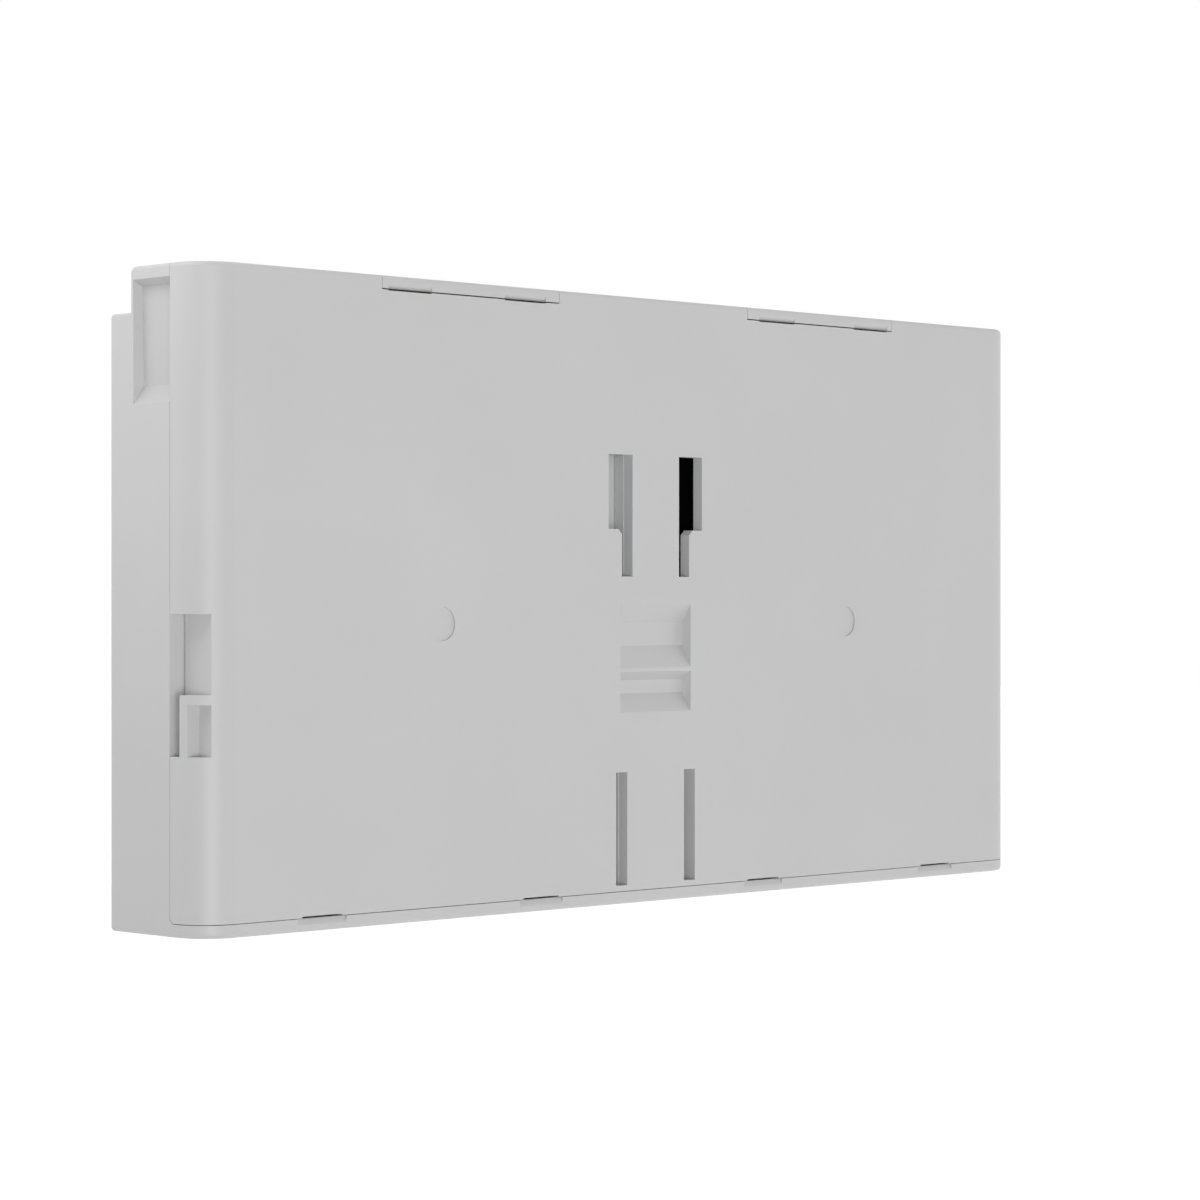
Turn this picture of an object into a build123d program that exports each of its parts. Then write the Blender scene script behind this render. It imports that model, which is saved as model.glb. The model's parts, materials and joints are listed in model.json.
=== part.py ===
from build123d import *

import os

# Wall battery unit, millimetres. +Z is up. The wall plane is Y = 0 and the case stands out of it
# towards -Y, so a depth of d means Y = -d. X and Z are measured from the middle of the back.

# ---------------------------------------------------------------- case
body_width = 287.0
body_height = 150.0
body_depth = 34.0
wall = 3.0
rear_corner_radius = 9.5
front_corner_radius = 2.0
rim_fillet = 1.0
cover_depth = 11.4
seam_gap = 0.15
seam_chamfer = 1.0
step_height = 10.3
step_depth = 8.0
step_wall = 2.2
step_fillet = 1.5
shelf_fillet = 0.8

lip_thickness = 1.2
lip_reach = 3.0
lip_clearance = 0.15

# Top tongues of the front housing, each side of the middle.
tongue_inner = 33.75
tongue_outer = 90.6
tongue_gap = 0.3
tongue_undercut = 1.0
tongue_undercut_rear = 1.6
snap_half_width = 6.8
snap_positions = (45.0, 82.0)
snap_relief = 0.2
snap_roll = 1.4

# Screwdriver notches in the bottom edge.
pry_positions = (39.65, 108.7)
pry_width = 14.4
pry_drop = 1.35
pry_depth = 0.7
pry_slot_width = 11.9
pry_slot_height = 0.35

# Hook slots, guide slots and catch pockets in the back wall.
hook_slot_inner = 8.3
hook_slot_narrow = 3.74
hook_slot_wide = 8.4
hook_slot_top = 35.9
hook_slot_step = 17.5
hook_slot_bottom = 5.8
hook_slot_chamfer = 1.2
guide_slot_inner = 10.13
guide_slot_width = 3.97
guide_slot_top = -42.5
guide_slot_bottom = -70.4
channel_depth = 6.1
channel_rib = 1.5
channel_ledge = 0.2
catch_half_width = 12.57
catch_depth = 2.9
catch_backing = 1.6
upper_catch = (-1.0, -5.3, -11.4, -16.8)
lower_catch = (-17.8, -19.9, -23.2, -27.8)
dimple_x = 71.75
dimple_z = -5.6
dimple_radius = 3.95
dimple_depth = 0.4

# Strap anchor let into each end of the rear cover.
anchor_top = -3.15
anchor_bottom = -34.8
anchor_depth = 4.1
anchor_backing = 1.8
anchor_bar_top = -21.05
anchor_bar_height = 2.2
anchor_bar_rear = 5.97
anchor_bar_front = 8.0
anchor_bar_radius = 0.6
anchor_floor_gap = 0.35

# Finger grip let into each end of the front housing.
grip_top_margin = 3.0
grip_top_ramp = 1.5
grip_length = 28.1
grip_front_margin = 9.4
grip_depth_top = 2.65
grip_depth_bottom = 3.05
grip_ramp = 4.2
grip_backing = 1.6

# Cooling slots in the face of the top step, over the electronics.
vent_width = 2.0
vent_height = 5.0
vent_pitch = 5.0
vent_count = 18
vent_first_x = -122.0

# ---------------------------------------------------------------- centre spine
spine_half_width = 13.0
spine_wall = 2.4
spine_gap = 0.25
spine_top_margin = 12.0
spine_bottom_margin = 2.0
spine_passage_height = 12.0
spine_passage_margin = 3.0
spine_screw_margins = (8.0, 10.0)
spine_boss_radius = 4.0

# ---------------------------------------------------------------- battery
cell_radius = 9.2
cell_length = 65.0
cell_nub_radius = 2.8
cell_nub_height = 0.6
cell_groove = 0.35
cell_groove_width = 1.5
cell_groove_drop = 5.0
cell_gap = 1.0
cells_per_row = 6
row_gap = 5.0
rows_lift = 4.0
pack_centre_x = 75.5
strip_thickness = 0.3
strip_half_width = 4.0
strip_overrun = 5.0
strip_flap = 3.4
strip_flap_half_width = 2.0
holder_height = 6.0
holder_wall = 0.9
holder_clearance = 0.1
holder_inset = 2.0
cradle_rib = 1.8
cradle_gap = 0.2
pad_thickness = 0.8
pad_margin = 2.0

management_board_size = (62.0, 52.0)
management_board_z = -1.0
management_board_gap = 2.6
management_chip = (5.2, 1.1, 6.0)
management_chip_pitch = 7.5
management_chip_count = 6
management_chip_rise = 11.0

# ---------------------------------------------------------------- electronics
board_thickness = 1.6
board_corner = 1.5
board_screw_inset = 4.0
main_board_size = (112.0, 124.0)
main_board_x = -78.0
main_board_lift = 4.0
main_board_front_gap = 7.4
board_boss_radius = 3.0
boss_root = 0.5
screw_radius = 1.25
pilot_clearance = 0.4
screw_hole_clearance = 0.2
screw_head_radius = 2.4
screw_head_height = 1.5
screw_cross = (3.2, 0.6, 0.7)
screw_length = 6.0
management_screw_length = 4.5
status_screw_length = 4.0
sheet_thickness = 0.4
sheet_fold_x = -18.6
sheet_outer_x = -134.0
sheet_margins = (6.0, 17.0)
sheet_front_gap = 0.3

jack_positions = (-122.0, -104.0, -86.0)
jack_width = 9.0
jack_height = 14.0
jack_thickness = 11.0
jack_nose_radius = 4.0
jack_bore_radius = 2.75
jack_bore_depth = 9.5
jack_pin_radius = 1.0
jack_pin_recess = 1.5
nose_clearance = 0.15
nose_recess = 0.4
usb_x = -66.0
usb_width = 8.9
usb_thickness = 3.2
usb_length = 8.0
usb_wall = 0.4
usb_tongue = (6.1, 0.7, 6.5)

isolator_x = -50.0
isolator_travel = 3.0
isolator_body = (13.0, 8.0, 7.0)
isolator_knob_width = 3.0
isolator_knob_depth = 3.0
isolator_knob_reach = 3.6
isolator_track_depth = 4.0
isolator_clearance = 0.2
isolator_grip_pitch = 0.8
isolator_grip_groove = (0.3, 0.4)

# Parts on the main board: X as drawn, heights measured up from the board's bottom edge.
sink_x = (-128.0, -96.0)
sink_rise = 80.0
sink_length = 38.0
sink_height = 16.0
sink_base = 4.0
sink_fin = 1.2
sink_fins = 7
sink_pack = (4.4, 15.0, 10.0)
sink_pack_margin = 2.0
sink_pack_pitch = 12.0
sink_pack_count = 3
transformer_x = -72.0
transformer_rise = 103.0
transformer_frame = (28.0, 16.0, 26.0)
transformer_limb = 5.0
transformer_core_width = 8.0
transformer_foot = 2.0
winding_clearance = 0.2
choke_x = -112.0
choke_rise = 58.0
choke_radius = 11.0
choke_hole_radius = 4.5
choke_thickness = 9.0
choke_rounding = 2.0
capacitor_places = ((-50.0, 98.0), (-36.0, 98.0), (-43.0, 112.0))
capacitor_radius = 6.25
capacitor_height = 16.0
capacitor_neck = (2.2, 1.0, 0.35)
relay_x = -80.5
relay_rise = 58.0
relay_size = (19.0, 15.0, 16.0)
fuse_x = -43.0
fuse_rise = 74.0
fuse_base = (26.0, 3.0, 8.0)
fuse_clip = (4.5, 10.0, 7.0)
fuse_clip_inset = 2.0
fuse_radius = 2.55
fuse_length = 24.0
fuse_axis_height = 7.0
fuse_clearance = 0.05
terminal_x = -33.0
terminal_rise = 18.0
terminal_size = (16.0, 12.0, 12.0)
terminal_screw_radius = 1.8
terminal_screw_depth = 1.5
terminal_entry = 6.0

lead_radius = 1.2
lead_clearance = 0.05
lead_bend = 7.0
lead_floor_gap = 0.7
lead_board_gap = 3.2
lead_spacing = 5.0
lead_pitch = 8.0
lead_overlap = 0.5

# ---------------------------------------------------------------- front controls
bezel_x = (-128.0, -42.0)
bezel_height = 24.0
bezel_thickness = 1.0
bezel_radius = 3.0
bezel_clearance = 0.1
control_z = 30.0
power_button_x = -113.5
mute_button_x = -92.5
power_button_radius = 6.0
mute_button_radius = 4.5
button_clearance = 0.15
button_recess = 0.2
button_flange = 1.2
button_flange_thickness = 1.0
button_flange_gap = 0.1
button_stem_radius = 1.5
button_stem = 0.6
button_rim = 0.4
button_dish = 0.3
button_dish_share = 0.77
spring_radius = 5.0
spring_wire = 0.25
spring_turns = 3
switch_size = (6.0, 1.4, 6.0)
switch_plunger = (1.7, 0.4)
window_centre_x = -63.5
window_size = (34.0, 5.0)
window_depth = 2.2
window_clearance = 0.1
led_count = 5
led_pitch = 6.5
led_size = (2.0, 0.8, 1.2)
guide_bar = (30.0, 1.4, 3.6)
guide_peg_radius = 1.3
guide_gap = 0.1
status_board_height = 20.0
status_board_x = (-127.0, -43.0)
status_board_gap = 4.4
status_board_thickness = 1.2
status_boss_x = (-123.6, -45.8)
status_boss_radius = 2.2

half_width = body_width / 2
half_height = body_height / 2
floor_z = -half_height + wall
inner_front = body_depth - wall
step_z = half_height - step_height
step_face = body_depth - step_depth

rows_bottom = floor_z + rows_lift
cell_pitch = 2 * cell_radius + cell_gap
cell_depth = wall + pad_thickness + holder_wall + cell_radius

main_board_rear = inner_front - main_board_front_gap - board_thickness
plus_lead_depth = main_board_rear - lead_board_gap
minus_lead_depth = plus_lead_depth - lead_spacing
lead_z = floor_z + lead_floor_gap + lead_radius
main_board_bottom = floor_z + main_board_lift
status_board_rear = inner_front - status_board_gap - status_board_thickness
spine_top = half_height - wall - spine_top_margin
spine_bottom = floor_z + spine_bottom_margin
spine_screw_heights = (spine_top - spine_screw_margins[0], spine_bottom + spine_screw_margins[1])


# ---------------------------------------------------------------- shape helpers
def block(x_range, depth_range, z_range):
    """Box between two X values, two depths behind the wall plane and two heights."""
    size_x = x_range[1] - x_range[0]
    size_y = depth_range[1] - depth_range[0]
    size_z = z_range[1] - z_range[0]
    middle = (sum(x_range) / 2, -sum(depth_range) / 2, sum(z_range) / 2)
    return Pos(*middle) * Box(abs(size_x), abs(size_y), abs(size_z))


def centred_range(centre, size):
    return centre - size / 2, centre + size / 2


def on_board(x, z, size, rear_face):
    """Block of (width, thickness, height) centred on x and z, standing behind a board's rear face."""
    width, thickness, height = size
    return block(centred_range(x, width), (rear_face - thickness, rear_face), centred_range(z, height))


def rod_in_depth(x, z, radius, depth_range):
    """Cylinder whose axis runs out of the wall."""
    length = depth_range[1] - depth_range[0]
    return Pos(x, -sum(depth_range) / 2, z) * Rot(90, 0, 0) * Cylinder(radius, length)


def rod_upright(x, depth, radius, z_range):
    """Cylinder whose axis is vertical."""
    length = z_range[1] - z_range[0]
    return Pos(x, -depth, sum(z_range) / 2) * Cylinder(radius, length)


def rod_along_x(x_range, depth, z, radius):
    """Cylinder whose axis runs along the case."""
    length = x_range[1] - x_range[0]
    return Pos(sum(x_range) / 2, -depth, z) * Rot(0, 90, 0) * Cylinder(radius, length)


def prism_along_x(points, x_range):
    """Solid with an outline of (depth, z) points, drawn out along X."""
    corners = [(-depth, z) for depth, z in points]
    face = make_face(Polyline(*corners, close=True))
    return extrude(Plane.YZ.offset(x_range[0]) * face, x_range[1] - x_range[0])


def prism_in_depth(points, depth_range):
    """Solid with an outline of (x, z) points, drawn out of the wall."""
    face = make_face(Polyline(*points, close=True))
    return extrude(Plane.XZ.offset(depth_range[0]) * face, depth_range[1] - depth_range[0])


def both_ends(shape):
    """The shape and its mirror image on the other side of the middle."""
    return shape + mirror(shape, about=Plane.YZ)


# ---------------------------------------------------------------- case shells
def case_outline(inset):
    """Plan of the case, inset from its outer skin, with its back edge on the wall plane."""
    plan = Pos(0, -body_depth / 2) * Rectangle(body_width - 2 * inset, body_depth - 2 * inset)
    rear = plan.vertices().filter_by(lambda v: v.Y > -body_depth / 2)
    plan = fillet(rear, rear_corner_radius - inset)
    front = [v for v in plan.vertices() if v.Y < -body_depth + inset + 0.01]
    return fillet(front, max(front_corner_radius - inset, 0.5))


def case_block():
    """The whole case as one solid lump, with its top step and softened rims."""
    lump = Pos(0, 0, -half_height) * extrude(case_outline(0), body_height)
    lump -= block((-body_width, body_width), (step_face, body_depth + 1), (step_z, half_height + 1))
    top_rims = lump.edges().group_by(Axis.Z)[-1]
    step_rim = [edge for edge in top_rims if abs(edge.center().Y + step_face) < 0.01]
    lump = fillet(step_rim, step_fillet)
    rims = lump.edges().group_by(Axis.Z)[-1] + lump.edges().group_by(Axis.Z)[0]
    rims = [edge for edge in rims if abs(edge.center().Y + step_face - step_fillet) > 0.01]
    lump = fillet(rims, rim_fillet)
    shelf = [
        edge
        for edge in lump.edges()
        if abs(edge.center().Z - step_z) < 0.01 and edge.center().Y < -step_face - 0.1
    ]
    return fillet(shelf, shelf_fillet)


def case_hollow():
    """The space inside the case walls."""
    hollow = Pos(0, 0, floor_z) * extrude(case_outline(wall), body_height - 2 * wall)
    above_shelf = (step_z - wall, half_height)
    return hollow - block((-body_width, body_width), (step_face - step_wall, body_depth), above_shelf)


def cover_region(gap):
    """The part of the case that the rear cover takes, drawn back by a gap from its seams."""
    front = cover_depth - gap
    bottom = floor_z + gap
    outline = [
        (-1, bottom),
        (front - seam_chamfer, bottom),
        (front, bottom + seam_chamfer),
        (front, half_height + 1),
        (-1, half_height + 1),
    ]
    return prism_along_x(outline, (-body_width, body_width))


def tongue_region(end_gap, lower_gap):
    """The two strips of top wall that belong to the front housing, grown by their gaps."""
    strip = block(
        (tongue_inner - end_gap, tongue_outer + end_gap),
        (-1, cover_depth + 1),
        (half_height - wall - lower_gap, half_height + 1),
    )
    return both_ends(strip)


def tongue_relief():
    """Thinner underside of the tongues behind their rear lips."""
    low = half_height - wall
    relief = block(
        (tongue_inner, tongue_outer),
        (tongue_undercut_rear, cover_depth),
        (low - 1, low + tongue_undercut),
    )
    return both_ends(relief)


def snap_roll_cut(x):
    """What rounds the lower rear edge of a tongue where it snaps over the cover."""
    low = half_height - wall
    x_range = (x - snap_half_width, x + snap_half_width)
    corner = block(x_range, (-1, snap_roll), (low - 1, low + snap_roll))
    return corner - rod_along_x((x - body_width, x + body_width), snap_roll, low + snap_roll, snap_roll)


def pry_ramp(x):
    """Sloped notch cut in the rear bottom edge for a screwdriver."""
    outline = [(-1, floor_z - pry_drop), (0, floor_z - pry_drop), (pry_depth, floor_z)]
    outline += [(pry_depth, floor_z + 0.01), (-1, floor_z + 0.01)]
    return prism_along_x(outline, (x - pry_width / 2, x + pry_width / 2))


def grip_heights():
    """Top and bottom edges of the finger grips on the skin of the case."""
    top = half_height - grip_top_margin
    return top, top - grip_length


def grip_front():
    return body_depth - grip_front_margin


def grip_pocket(side):
    """Finger grip: ramped at its top and bottom, square at its front, open at the seam."""
    top, bottom = grip_heights()
    skin = half_width + 1
    points = [
        (half_width - grip_depth_top, top - grip_top_ramp),
        (skin, top + grip_top_ramp / grip_depth_top),
        (skin, bottom - grip_ramp / grip_depth_bottom),
        (half_width - grip_depth_bottom, bottom + grip_ramp),
    ]
    pocket = prism_in_depth(points, (cover_depth - lip_reach - 1, grip_front()))
    return pocket if side > 0 else mirror(pocket, about=Plane.YZ)


def corners_of(centre_x, centre_z, size, inset, rows):
    """Screw places along the two upright edges of a board."""
    reach_x = size[0] / 2 - inset
    reach_z = size[1] / 2 - inset
    return [(centre_x + side * reach_x, centre_z + row * reach_z) for side in (-1, 1) for row in rows]


def main_board_z():
    return main_board_bottom + main_board_size[1] / 2


def board_boss_places():
    """Screw places of the main board: four corners and the middles of its upright edges."""
    return corners_of(main_board_x, main_board_z(), main_board_size, board_screw_inset, (-1, 0, 1))


def management_boss_places():
    """Screw places of the battery management board."""
    size = management_board_size
    return corners_of(pack_centre_x, management_board_z, size, board_screw_inset, (-1, 1))


def pack_ends():
    """X of the outer faces of the cell holders."""
    reach = (cells_per_row - 1) * cell_pitch / 2 + cell_radius + holder_wall
    return pack_centre_x - reach, pack_centre_x + reach


def row_bottoms():
    """Lower end of each row of cells."""
    return rows_bottom, rows_bottom + cell_length + row_gap


def holder_heights():
    """Bottom of each cell holder: two round each row of cells."""
    bottoms = []
    for row_bottom in row_bottoms():
        bottoms.append(row_bottom + holder_inset)
        bottoms.append(row_bottom + cell_length - holder_inset - holder_height)
    bottoms[-1] = min(bottoms[-1], step_z - wall - holder_inset - holder_height)
    return bottoms


def boss(x, z, radius, rear, screw_tip):
    """Screw post on the inside of the front wall, and the pilot hole for its screw."""
    post = rod_in_depth(x, z, radius, (rear, inner_front + boss_root))
    pilot = rod_in_depth(x, z, screw_radius, (rear - 1, screw_tip + pilot_clearance))
    return post, pilot


def side_lip():
    """Lip on the +X side of the front housing that closes its seam from inside."""
    outer = half_width - wall - lip_clearance
    heights = (floor_z, half_height - wall - 1)
    lip = block((outer - lip_thickness, outer), (cover_depth - lip_reach, cover_depth + lip_reach), heights)
    root = (outer - lip_thickness, half_width - wall + 0.1)
    lip += block(root, (cover_depth, cover_depth + lip_reach), heights)
    anchor_gap = block(
        (half_width - anchor_depth - anchor_backing - lip_reach, half_width - wall + 0.05),
        (0, cover_depth),
        (anchor_bottom - anchor_backing - 1, anchor_top + anchor_backing + 1),
    )
    return lip - anchor_gap


def side_thickening():
    """Thicker seam edge where the strap anchor shows it, and the wall behind the finger grip."""
    edge = block(
        (half_width - anchor_depth, half_width - wall + 0.1),
        (cover_depth, cover_depth + lip_reach),
        (anchor_bottom - anchor_backing, anchor_top + anchor_backing),
    )
    grip_wall = block(
        (half_width - grip_depth_bottom - grip_backing, half_width - wall + 0.1),
        (cover_depth, grip_front() + grip_backing),
        (grip_heights()[1] - grip_backing, half_height - wall + 0.1),
    )
    return edge + (grip_wall & case_hollow())


def cradle_ribs():
    """Ribs on the front wall that hold the cell holders in place."""
    low_x, high_x = pack_ends()
    front_of_holders = cell_depth + cell_radius + holder_wall
    root = inner_front + boss_root
    ribs = []
    for z in (holder_heights()[0], holder_heights()[3]):
        middle = z + holder_height / 2
        across = (low_x + pad_margin, high_x - pad_margin)
        ribs.append(block(across, (front_of_holders, root), centred_range(middle, cradle_rib)))
        for x in (low_x - cradle_gap - cradle_rib, high_x + cradle_gap):
            ribs.append(block((x, x + cradle_rib), (cell_depth, root), (z, z + holder_height)))
    return ribs


def screw_posts():
    """Every screw post on the front wall, as (x, z, radius, rear face, tip of its screw)."""
    main = (board_boss_radius, main_board_rear + board_thickness, main_board_rear + screw_length)
    pack_front = management_rear() + board_thickness
    pack = (board_boss_radius, pack_front, management_rear() + management_screw_length)
    status = (status_boss_radius, status_front(), status_board_rear + status_screw_length)
    spine = (spine_boss_radius, spine_front(), spine_screw_seat() + screw_length)
    posts = [(x, z, *main) for x, z in board_boss_places()]
    posts += [(x, z, *pack) for x, z in management_boss_places()]
    posts += [(x, control_z, *status) for x in status_boss_x]
    return posts + [(0, z, *spine) for z in spine_screw_heights]


def socket_openings():
    """Holes through the floor for the sockets and the isolator's knob."""
    through_floor = (-half_height - 1, floor_z + 1)
    holes = [
        rod_upright(x, jack_axis_depth(), jack_nose_radius + nose_clearance, through_floor)
        for x in jack_positions
    ]
    usb_hole = block(
        centred_range(usb_x, usb_width + 2 * nose_clearance),
        centred_range(usb_axis_depth(), usb_thickness + 2 * nose_clearance),
        through_floor,
    )
    holes.append(fillet(usb_hole.edges().filter_by(Axis.Z), usb_thickness / 2 + nose_clearance - 0.2))
    knob_slot = block(
        centred_range(isolator_x, isolator_knob_width + isolator_travel + 2 * isolator_clearance),
        centred_range(isolator_axis_depth(), isolator_knob_depth + 2 * isolator_clearance),
        through_floor,
    )
    return holes + [knob_slot]


def vent_slots():
    """Cooling slots through the face of the top step."""
    middle_z = step_z + (step_height - rim_fillet) / 2
    slots = []
    for index in range(vent_count):
        x = vent_first_x + index * vent_pitch
        through_face = (step_face - step_wall - 1, step_face + 1)
        slots.append(block(centred_range(x, vent_width), through_face, centred_range(middle_z, vent_height)))
    return slots


def front_openings():
    """The bezel's seat in the front wall and the holes for the buttons and the window."""
    through = (inner_front - 1, body_depth)
    holes = [bezel_plate(0, body_depth - bezel_thickness, body_depth + 1)]
    for x, radius in button_places():
        holes.append(rod_in_depth(x, control_z, radius + button_clearance, through))
    return holes + [window_block(window_clearance, through)]


def make_front_housing():
    shell = case_block() - case_hollow()
    housing = shell - cover_region(0)
    housing += shell & tongue_region(0, 0) & cover_region(0)
    housing -= tongue_relief()
    for x in snap_positions:
        housing -= both_ends(snap_roll_cut(x))
    housing += both_ends(side_lip())
    housing += both_ends(side_thickening())
    for side in (-1, 1):
        housing -= grip_pocket(side)

    pilots = []
    for x, z, radius, rear, screw_tip in screw_posts():
        post, pilot = boss(x, z, radius, rear, screw_tip)
        housing += post
        pilots.append(pilot)
    for rib in cradle_ribs():
        housing += rib
    for hole in pilots + socket_openings() + vent_slots() + front_openings():
        housing -= hole
    for x in pry_positions:
        housing -= both_ends(pry_ramp(x))
    return housing


def cover_backing():
    """Thicker places behind the catch pockets and the strap anchors."""
    catches = block(
        (-catch_half_width - catch_backing, catch_half_width + catch_backing),
        (wall - 0.1, catch_depth + catch_backing),
        (lower_catch[3] - 1, upper_catch[0] + 1),
    )
    anchor = block(
        (half_width - anchor_depth - anchor_backing, half_width - wall + 0.1),
        (wall - 0.1, cover_depth - anchor_floor_gap),
        (anchor_bottom - anchor_backing, anchor_top + anchor_backing),
    )
    return catches + both_ends(anchor)


def channel_ribs():
    """Ribs that line the hook and guide slots inside, a little proud of the slots' edges."""
    ledge_x = hook_slot_inner + channel_ledge
    ribs = block(
        (ledge_x - channel_rib, ledge_x),
        (wall, channel_depth),
        (hook_slot_bottom - 1, hook_slot_top + 1),
    )
    guide_outer = guide_slot_inner + guide_slot_width
    guide_ribs = block(
        (guide_slot_inner - channel_rib, guide_outer + channel_rib),
        (wall, channel_depth),
        (guide_slot_bottom - 1, guide_slot_top + 1),
    )
    guide_channel = block(
        (guide_slot_inner + channel_ledge, guide_outer),
        (0, channel_depth + 1),
        (guide_slot_bottom, guide_slot_top),
    )
    return both_ends(ribs + (guide_ribs - guide_channel))


def wall_slots():
    """Hook slots, wide above and narrow below, and guide slots, through the back wall only."""
    wide_outer = hook_slot_inner + hook_slot_wide
    narrow_outer = hook_slot_inner + hook_slot_narrow
    hook_outline = [
        (hook_slot_inner, hook_slot_bottom),
        (narrow_outer, hook_slot_bottom),
        (narrow_outer, hook_slot_step - hook_slot_chamfer),
        (narrow_outer + hook_slot_chamfer, hook_slot_step),
        (wide_outer, hook_slot_step),
        (wide_outer, hook_slot_top),
        (hook_slot_inner, hook_slot_top),
    ]
    guide_range = (guide_slot_inner, guide_slot_inner + guide_slot_width)
    slots = prism_in_depth(hook_outline, (-1, wall))
    slots += block(guide_range, (-1, wall), (guide_slot_bottom, guide_slot_top))
    return both_ends(slots)


def anchor_pocket():
    """Pocket of a strap anchor, from the wall plane to the seam."""
    heights = (anchor_bottom, anchor_top)
    return block((half_width - anchor_depth, half_width + 1), (-1, cover_depth), heights)


def anchor_bar():
    """L-shaped bar across a strap anchor: a web with a leg down its front, flush with the skin."""
    bar = block(
        (half_width - anchor_depth - 0.1, half_width + 1),
        (-1, anchor_bar_front),
        (anchor_bottom - 0.1, anchor_bar_top),
    )
    corner = [
        edge
        for edge in bar.edges().filter_by(Axis.X)
        if edge.center().Z > anchor_bar_top - 0.1 and edge.center().Y < -anchor_bar_front + 0.1
    ]
    bar = fillet(corner, anchor_bar_radius)
    bar -= block(
        (half_width - 2 * anchor_depth, half_width + 2),
        (-2, anchor_bar_rear),
        (anchor_bottom - 1, anchor_bar_top - anchor_bar_height),
    )
    return bar & case_block()


def make_rear_cover():
    cover = (case_block() - case_hollow()) & cover_region(seam_gap)
    cover += cover_backing()
    cover -= wall_slots()
    cover += channel_ribs()

    # Catch pockets for the bracket's spring latch.
    for top, floor_top, floor_bottom, bottom in (upper_catch, lower_catch):
        outline = [(-1, top), (0, top), (catch_depth, floor_top), (catch_depth, floor_bottom)]
        outline += [(0, bottom), (-1, bottom)]
        cover -= prism_along_x(outline, (-catch_half_width, catch_half_width))

    cover -= both_ends(anchor_pocket())
    cover += both_ends(anchor_bar())

    # Notches for the top tongues, their snap windows, and the pry slots.
    cover -= tongue_region(seam_gap, tongue_gap)
    window_top = half_height - wall
    window_bottom = window_top - tongue_gap - snap_relief
    for x in snap_positions:
        x_range = centred_range(x, 2 * snap_half_width)
        cover -= both_ends(block(x_range, (-1, wall + 1), (window_bottom, window_top)))
    for x in pry_positions:
        x_range = centred_range(x, pry_slot_width)
        heights = (floor_z, floor_z + seam_gap + pry_slot_height)
        cover -= both_ends(block(x_range, (-1, wall + 1), heights))
    for side in (-1, 1):
        cover -= rod_in_depth(side * dimple_x, dimple_z, dimple_radius, (-1, dimple_depth))
    return cover


def spine_rear():
    return channel_depth + spine_gap


def spine_front():
    return spine_rear() + spine_wall


def spine_screw_seat():
    """Where a spine screw's head bears, sunk flush in the web."""
    return spine_rear() + screw_head_height


def make_centre_spine():
    heights = (spine_bottom, spine_top)
    web = block((-spine_half_width, spine_half_width), (spine_rear(), spine_front()), heights)
    leg = block((spine_half_width - spine_wall, spine_half_width), (spine_rear(), inner_front), heights)
    passage = block(
        (spine_half_width - spine_wall - 1, spine_half_width + 1),
        (minus_lead_depth - spine_passage_margin, plus_lead_depth + spine_passage_margin),
        (spine_bottom - 1, spine_bottom + spine_passage_height),
    )
    spine = web + both_ends(leg - passage)
    hole_radius = screw_radius + screw_hole_clearance
    sink_radius = screw_head_radius + screw_hole_clearance
    for z in spine_screw_heights:
        spine -= rod_in_depth(0, z, hole_radius, (spine_rear() - 1, spine_front() + 1))
        spine -= rod_in_depth(0, z, sink_radius, (spine_rear() - 1, spine_screw_seat()))
    return spine


def screw(x, z, seat_depth, grip):
    """Pan-head screw: its head stands behind seat_depth and its shank runs towards the front wall."""
    top = seat_depth - screw_head_height
    span, width, sunk = screw_cross
    head = rod_in_depth(x, z, screw_head_radius, (top, seat_depth))
    for size_x, size_z in ((span, width), (width, span)):
        head -= block(centred_range(x, size_x), (top - 1, top + sunk), centred_range(z, size_z))
    return head + rod_in_depth(x, z, screw_radius, (seat_depth - 0.1, seat_depth + grip))


def make_board_screws():
    """The screws of the three circuit boards."""
    screws = [screw(x, z, management_rear(), management_screw_length) for x, z in management_boss_places()]
    screws += [screw(x, z, main_board_rear, screw_length) for x, z in board_boss_places()]
    return screws + [screw(x, control_z, status_board_rear, status_screw_length) for x in status_boss_x]


# ---------------------------------------------------------------- battery
def management_rear():
    """Rear face of the battery management board, in front of the cells."""
    return cell_depth + cell_radius + holder_wall + management_board_gap


def make_cell(x, bottom, plus_up):
    """Round cell with a raised plus end and the rolled groove under it."""
    shoulder = bottom + cell_length - cell_nub_height
    body = rod_upright(x, cell_depth, cell_radius, (bottom, shoulder))
    groove_z = bottom + cell_length - cell_groove_drop
    groove_top = groove_z + cell_groove_width
    ring = rod_upright(x, cell_depth, cell_radius + 1, (groove_z, groove_top))
    ring -= rod_upright(x, cell_depth, cell_radius - cell_groove, (groove_z - 1, groove_top + 1))
    nub = rod_upright(x, cell_depth, cell_nub_radius, (shoulder - 0.4, bottom + cell_length))
    cell = body - ring + nub
    if plus_up:
        return cell
    middle = bottom + cell_length / 2
    return Pos(x, -cell_depth, middle) * Rot(180, 0, 0) * Pos(-x, cell_depth, -middle) * cell


def cell_columns():
    first = pack_centre_x - (cells_per_row - 1) * cell_pitch / 2
    return [first + index * cell_pitch for index in range(cells_per_row)]


def make_cells():
    cells = {}
    for name, bottom in zip(("lower", "upper"), row_bottoms()):
        for index, x in enumerate(cell_columns()):
            plus_up = index < cells_per_row // 2
            cells[f"cell_{name}_{index + 1}"] = make_cell(x, bottom, plus_up)
    return cells


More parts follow.
